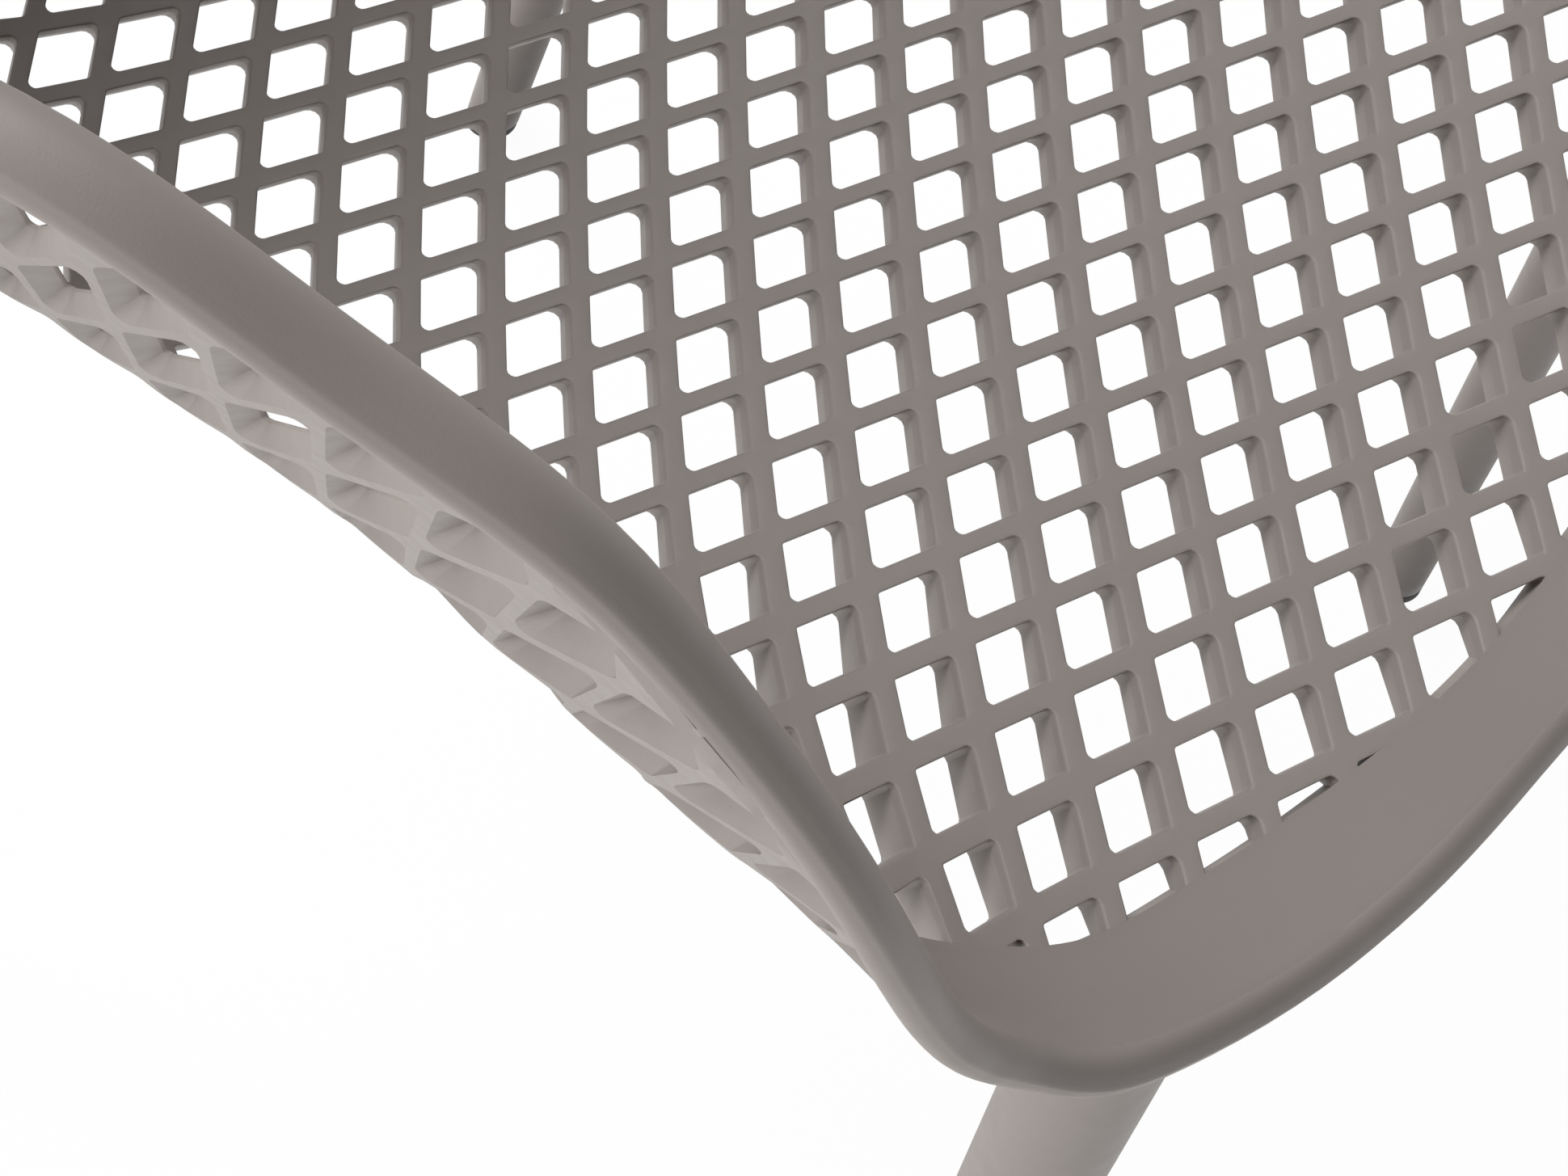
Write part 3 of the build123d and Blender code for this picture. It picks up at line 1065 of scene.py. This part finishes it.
@dataclass
class Leg:
    """Round tapered leg with its foot glide and the screw that holds it.

    Attributes:
        shell: Form of the shell.
        corner: Which leg it is.
        radius_top: Radius where the leg meets the shell.
        radius_foot: Radius at the floor.
        front_top: Aim of a front leg's middle line, on the right.
        front_foot: Foot of a front leg.
        rear_top: Aim of a rear leg's middle line.
        rear_foot: Foot of a rear leg.
        glide_height: Height of the glide under the leg.
        reach: Distances up the leg, in metres, between which the shell is looked for.
        rows, segments: Faces along and around the leg.
        tube_ease, sole_ease, cheek_ease: Rounding of the leg's lower end, the glide's sole and its top.
        sole_border, sole_hollow: Border of the hollow in the sole, and the run and depth of its edge.
        screw_drop, screw_seat: Distance of the screw below the aim, and how deep its head sits in the leg.
        screw_head_radius, screw_head_height, screw_dome, screw_segments: Size, rounding and faces of the head.
        socket_border, socket_radius, socket_depth: Ring around the six-sided socket, its radius and depth.
    """

    shell: ShellForm
    corner: Corner
    radius_top: float = 14.5
    radius_foot: float = 11.5
    front_top: Triple = (224.0, -205.0, 445.0)
    front_foot: Triple = (250.0, -222.0, 0.0)
    rear_top: Triple = (216.0, 128.0, 465.0)
    rear_foot: Triple = (226.0, 223.0, 0.0)
    glide_height: float = 6.0
    reach: Plan = (0.3, 0.62)
    rows: int = 24
    segments: int = 48
    tube_ease: float = 0.5
    sole_ease: float = 1.4
    cheek_ease: float = 0.4
    sole_border: float = 2.2
    sole_hollow: Plan = (0.6, 0.8)
    screw_drop: float = 30.0
    screw_head_radius: float = 4.0
    screw_head_height: float = 2.4
    screw_seat: float = 1.2
    screw_segments: int = 24
    screw_dome: float = 1.1
    socket_border: float = 0.7
    socket_radius: float = 1.5
    socket_depth: float = 1.3

    def ends(self) -> tuple[Vector, Vector]:
        """Foot and aim of the middle line on this side of the chair, in metres."""
        foot = Vector(self.front_foot if self.corner.at_front else self.rear_foot) * MM
        top = Vector(self.front_top if self.corner.at_front else self.rear_top) * MM
        foot.x *= self.corner.side
        top.x *= self.corner.side
        return foot, top

    def radius(self, along: float) -> float:
        """Radius in metres at a distance along the middle line from the floor."""
        foot, top = self.ends()
        return (self.radius_foot + (self.radius_top - self.radius_foot) * along / (top - foot).length) * MM

    def under_shell(self, start: Vector, axis: Vector) -> Vector:
        """Where a line along the leg runs into the middle of the shell's wall.

        Args:
            start: Point low on the line.
            axis: Direction up the leg.

        Returns:
            The point inside the wall.
        """
        low, high = self.reach
        for _ in range(40):
            middle = (low + high) / 2
            x, w, d = self.shell.plan_of(start + axis * middle)
            wall = self.shell.depth(x, w) - self.shell.thickness / 2 * self.shell.stretch(x, w)
            low, high = (middle, high) if d < wall else (low, middle)
        return start + axis * low

    def build_tube(self) -> bpy.types.Object:
        """Draw the tapered leg from its foot up into the shell.

        Returns:
            The leg.
        """
        foot, top = self.ends()
        axis = (top - foot).normalized()
        turn = axis.to_track_quat("Z", "Y").to_matrix().to_4x4()
        length = (top - foot).length
        bm = bmesh.new()
        bmesh.ops.create_circle(bm, cap_ends=True, segments=self.segments, radius=self.radius(0.0))
        bmesh.ops.transform(bm, matrix=Matrix.Translation(foot) @ turn, verts=bm.verts[:])
        for vert in bm.verts:
            vert.co += axis * ((self.glide_height * MM - vert.co.z) / axis.z)
        ring = bm.edges[:]
        for row in range(1, self.rows + 1):
            along = length * row / self.rows
            grown = bmesh.ops.extrude_edge_only(bm, edges=ring)["geom"]
            verts, ring = verts_in(grown), edges_in(grown)
            for vert in verts:
                arm = vert.co - foot - axis * (vert.co - foot).dot(axis)
                vert.co = foot + axis * along + arm.normalized() * self.radius(along)
        for vert in {vert for edge in ring for vert in edge.verts}:
            arm = vert.co - foot - axis * (vert.co - foot).dot(axis)
            vert.co = self.under_shell(foot + arm, axis)
        bmesh.ops.holes_fill(bm, edges=ring)
        end = (self.glide_height + 0.01) * MM
        soften(bm, [edge for edge in bm.edges if all(v.co.z < end for v in edge.verts)], self.tube_ease)
        return new_piece(self.corner.prefix + "_leg_tube", bm, 50.0)

    def build_glide(self) -> bpy.types.Object:
        """Turn the glide that stands on the floor.

        Returns:
            The glide.
        """
        foot, top = self.ends()
        axis = (top - foot).normalized()
        bm = bmesh.new()
        bmesh.ops.create_circle(bm, cap_ends=True, segments=self.segments, radius=self.radius(0.0))
        upper = verts_in(bmesh.ops.extrude_face_region(bm, geom=bm.faces[:])["geom"])
        lift = Vector((axis.x / axis.z, axis.y / axis.z, 1.0)) * self.glide_height * MM
        bmesh.ops.translate(bm, verts=upper, vec=lift)
        bmesh.ops.translate(bm, verts=bm.verts[:], vec=foot)
        low, high = 0.1 * MM, (self.glide_height - 0.1) * MM
        soften(bm, [edge for edge in bm.edges if all(v.co.z < low for v in edge.verts)], self.sole_ease, 3)
        soften(bm, [edge for edge in bm.edges if all(v.co.z > high for v in edge.verts)], self.cheek_ease)
        under = min(bm.faces, key=lambda face: face.calc_center_median().z)
        run, depth = self.sole_hollow
        bmesh.ops.inset_individual(bm, faces=[under], thickness=self.sole_border * MM, depth=0.0)
        bmesh.ops.inset_individual(bm, faces=[under], thickness=run * MM, depth=-depth * MM)
        return new_piece(self.corner.prefix + "_foot_glide", bm, 50.0)

    def screw_frame(self) -> Matrix:
        """Frame of the screw on the inner side of the leg, with its own Z out of the leg."""
        foot, top = self.ends()
        axis = (top - foot).normalized()
        along = (top - foot).length - self.screw_drop * MM
        across = Vector((-self.corner.side, 0.0, 0.0))
        out = (across - axis * across.dot(axis)).normalized()
        place = foot + axis * along + out * (self.radius(along) - self.screw_seat * MM)
        turn = Matrix((axis, out.cross(axis), out)).transposed().to_4x4()
        return Matrix.Translation(place) @ turn

    def add_screw(self, bm: bmesh.types.BMesh) -> None:
        """Add this leg's screw to a mesh: a domed head with a six-sided socket.

        Args:
            bm: Mesh that holds the screws.
        """
        made = bmesh.ops.create_circle(
            bm, cap_ends=True, segments=self.screw_segments, radius=self.screw_head_radius * MM)["verts"]
        upper = verts_in(bmesh.ops.extrude_face_region(bm, geom=made[0].link_faces[:])["geom"])
        bmesh.ops.translate(bm, verts=upper, vec=(0.0, 0.0, self.screw_head_height * MM))
        ring = {edge for vert in upper for edge in vert.link_edges if edge.other_vert(vert) in upper}
        dome = soften(bm, list(ring), self.screw_dome, 4)
        tops = [vert for vert in dome if vert.co.z > (self.screw_head_height - 0.01) * MM]
        flat = max({face for vert in tops for face in vert.link_faces}, key=lambda item: len(item.verts))
        bmesh.ops.inset_individual(bm, faces=[flat], thickness=self.socket_border * MM, depth=0.0)
        for vert in flat.verts:
            turn = math.atan2(vert.co.y, vert.co.x) % (math.pi / 3) - math.pi / 6
            reach = self.socket_radius * MM / math.cos(turn)
            vert.co = vert.co.xy.normalized().to_3d() * reach + Vector((0.0, 0.0, vert.co.z))
        socket = verts_in(bmesh.ops.extrude_face_region(bm, geom=[flat])["geom"])
        bmesh.ops.translate(bm, verts=socket, vec=(0.0, 0.0, -self.socket_depth * MM))
        if flat.is_valid:
            bmesh.ops.delete(bm, geom=[flat], context="FACES_ONLY")
        fresh = [vert for vert in bm.verts if vert.co.length < 0.02]
        bmesh.ops.transform(bm, matrix=self.screw_frame(), verts=fresh)


@dataclass
class Chair:
    """The whole chair.

    Attributes:
        shell: Form of the shell.
        resin: Finish of the shell.
        leg_resin: Finish of the legs.
        rubber: Finish of the glides.
        steel: Finish of the screws.
    """

    shell: ShellForm
    resin: ResinFinish = ResinFinish("taupe_resin_shell")
    leg_resin: ResinFinish = ResinFinish("taupe_resin_leg", grain_scale=2100.0)
    rubber: RubberFinish = RubberFinish("glide_rubber")
    steel: SteelFinish = SteelFinish("screw_steel")

    def build_shell(self) -> None:
        """Build the net, the rim and the band."""
        guide = EdgeGuide(self.shell)
        rim = RolledRim(self.shell)
        resin = self.resin.material()
        nets = ["seat_net", "back_net", "right_arm_net", "right_wing_net", "left_arm_net", "left_wing_net"]
        dress(Net(self.shell, guide).build(), resin, Slot.SHELL, *nets)
        rims = ["front_rim", "back_rim", "right_arm_rim", "left_arm_rim"]
        dress(rim.build(), resin, Slot.SHELL, *rims)
        dress(FrontBand(self.shell, guide, rim).build(), resin, Slot.SHELL, "front_band")
        for corner in Corner:
            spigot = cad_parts[corner.prefix + "_leg_spigot"]
            spigot.data.materials.clear()
            spigot.data.materials.append(resin)

    def build_legs(self) -> None:
        """Build the legs, the glides and the screws."""
        resin = self.leg_resin.material()
        rubber = self.rubber.material()
        screws = bmesh.new()
        for corner in Corner:
            leg = Leg(self.shell, corner)
            dress(leg.build_tube(), resin, Slot.LEG, corner.prefix + "_leg")
            dress(leg.build_glide(), rubber, Slot.FOOT, corner.prefix + "_glide")
            leg.add_screw(screws)
        dress(new_piece("socket_screws", screws, 40.0), self.steel.material(), Slot.SCREW, "leg_screws")


@dataclass(frozen=True)
class SoftBox:
    """Square soft lamp.

    Attributes:
        name: Name of the lamp.
        place: Where it hangs.
        size: Side of the square.
        power: Light in watts.
    """

    name: str
    place: Triple
    size: float
    power: float

    def hang(self, aim: Vector) -> None:
        """Hang the lamp.

        Args:
            aim: Point that it faces.
        """
        lamp = bpy.data.lights.new(self.name, "AREA")
        lamp.shape = "SQUARE"
        lamp.size = self.size
        lamp.energy = self.power
        holder = bpy.data.objects.new(self.name, lamp)
        holder.location = self.place
        holder.rotation_euler = (aim - Vector(self.place)).to_track_quat("-Z", "Y").to_euler()
        bpy.context.scene.collection.objects.link(holder)


@dataclass
class Studio:
    """White studio with soft light and the camera of the photograph.

    Attributes:
        eye: Place of the camera.
        right: Direction of the picture's right side.
        up: Direction of the picture's upper side.
        lens: Focal length in millimetres on a sensor 36 mm wide.
        ambient: Strength of the light from all around.
        boxes: A large soft box above the back and a small one at the left.
        aim: Point that they face.
        floor_half: Half the side of the floor.
        floor_grey: Colour of the floor as the chair's light falls on it.
        bounce: Strength of the light that the floor sends up, under the chair and beside it.
        bounce_reach: Distances from the chair's middle that go with them.
        glow: Strength of the white that the camera sees in the floor.
        glow_share: Share of that white; the rest keeps the chair's shadow.
    """

    eye: Triple = (-0.4535, -0.1964, 0.9586)
    right: Triple = (0.51244, -0.84905, 0.12851)
    up: Triple = (0.70528, 0.50151, 0.50107)
    lens: float = 62.8
    ambient: float = 0.06
    boxes: tuple[SoftBox, ...] = (
        SoftBox("key_box", (0.42, 1.75, 2.45), 3.0, 125.0), SoftBox("side_box", (-2.0, 1.5, 1.3), 1.2, 36.0))
    aim: Triple = (0.0, 0.0, 0.45)
    floor_half: float = 6.0
    floor_grey: float = 0.2
    bounce: Plan = (0.0, 1.8)
    bounce_reach: Plan = (0.35, 1.0)
    glow: float = 1.12
    glow_share: float = 0.86

    @staticmethod
    def bright_ray(graph: NodeGraph) -> bpy.types.NodeSocket:
        """One where the camera, a mirror or a window looks straight at a surface.

        Args:
            graph: Nodes to add it to.

        Returns:
            Socket with the value.
        """
        path = graph.nodes.new("ShaderNodeLightPath").outputs
        first = graph.add("ShaderNodeMath", {0: path["Is Camera Ray"], 1: path["Is Glossy Ray"]})
        second = graph.add("ShaderNodeMath", {0: first.outputs["Value"], 1: path["Is Transmission Ray"]})
        first.operation = second.operation = "MAXIMUM"
        return second.outputs["Value"]

    def build_world(self) -> None:
        """Even light from all around, seen as white by the camera."""
        world = bpy.data.worlds.new("white_studio")
        graph = NodeGraph(world)
        strength = graph.span(self.bright_ray(graph), (0.0, 1.0), (self.ambient, 1.0))
        graph.wire(graph.nodes["Background"], {"Color": (1.0, 1.0, 1.0, 1.0), "Strength": strength})
        bpy.context.scene.world = world

    def floor_material(self) -> bpy.types.Material:
        """White for the camera, with the chair's shadow, and a source of light beside the chair.

        Returns:
            The finished material.
        """
        material = bpy.data.materials.new("white_floor")
        graph = NodeGraph(material)
        seen = self.bright_ray(graph)
        spread = graph.add("ShaderNodeVectorMath", {0: graph.place()})
        spread.operation = "LENGTH"
        level = graph.span(spread.outputs["Value"], self.bounce_reach, self.bounce)
        upward = graph.add("ShaderNodeMapRange", {"Value": seen, "To Min": level, "To Max": 0.0})
        shader = graph.wire(graph.nodes["Principled BSDF"], {
            "Base Color": (self.floor_grey, self.floor_grey, self.floor_grey, 1.0),
            "Roughness": 0.9,
            "Emission Color": (1.0, 1.0, 1.0, 1.0),
            "Emission Strength": upward.outputs["Result"],
        })
        glow = graph.add("ShaderNodeEmission", {"Strength": self.glow})
        share = graph.add("ShaderNodeMath", {0: seen, 1: self.glow_share})
        share.operation = "MULTIPLY"
        mix = graph.add("ShaderNodeMixShader", {
            0: share.outputs["Value"], 1: shader.outputs["BSDF"], 2: glow.outputs["Emission"]})
        graph.wire(graph.nodes["Material Output"], {"Surface": mix.outputs["Shader"]})
        return material

    def build_floor(self) -> None:
        """White floor that keeps a faint shadow."""
        bm = bmesh.new()
        bmesh.ops.create_grid(bm, x_segments=8, y_segments=8, size=self.floor_half)
        mesh = bpy.data.meshes.new("studio_floor")
        bm.to_mesh(mesh)
        bm.free()
        mesh.materials.append(self.floor_material())
        floor = bpy.data.objects.new("studio_floor", mesh)
        bpy.context.scene.collection.objects.link(floor)

    def build_camera(self) -> None:
        """The camera of the photograph, close above the front left corner."""
        camera = bpy.data.cameras.new("photo_camera")
        camera.lens = self.lens
        camera.sensor_width = 36.0
        camera.sensor_fit = "HORIZONTAL"
        camera.clip_start = 0.01
        holder = bpy.data.objects.new("photo_camera", camera)
        right, up = Vector(self.right), Vector(self.up)
        turn = Matrix((right, up, right.cross(up))).transposed().to_4x4()
        holder.matrix_world = Matrix.Translation(Vector(self.eye)) @ turn
        bpy.context.scene.collection.objects.link(holder)
        bpy.context.scene.camera = holder

    def build(self) -> None:
        """Set up the whole studio."""
        self.build_world()
        self.build_floor()
        for box in self.boxes:
            box.hang(Vector(self.aim))
        self.build_camera()
        bpy.context.scene.view_settings.view_transform = "Standard"


def main() -> None:
    """Build the chair and the studio."""
    logging.basicConfig(level=logging.INFO, format="%(name)s %(message)s")
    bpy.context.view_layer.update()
    chair = Chair(ShellForm())
    chair.build_shell()
    chair.build_legs()
    Studio().build()


if __name__ == "__main__":
    main()
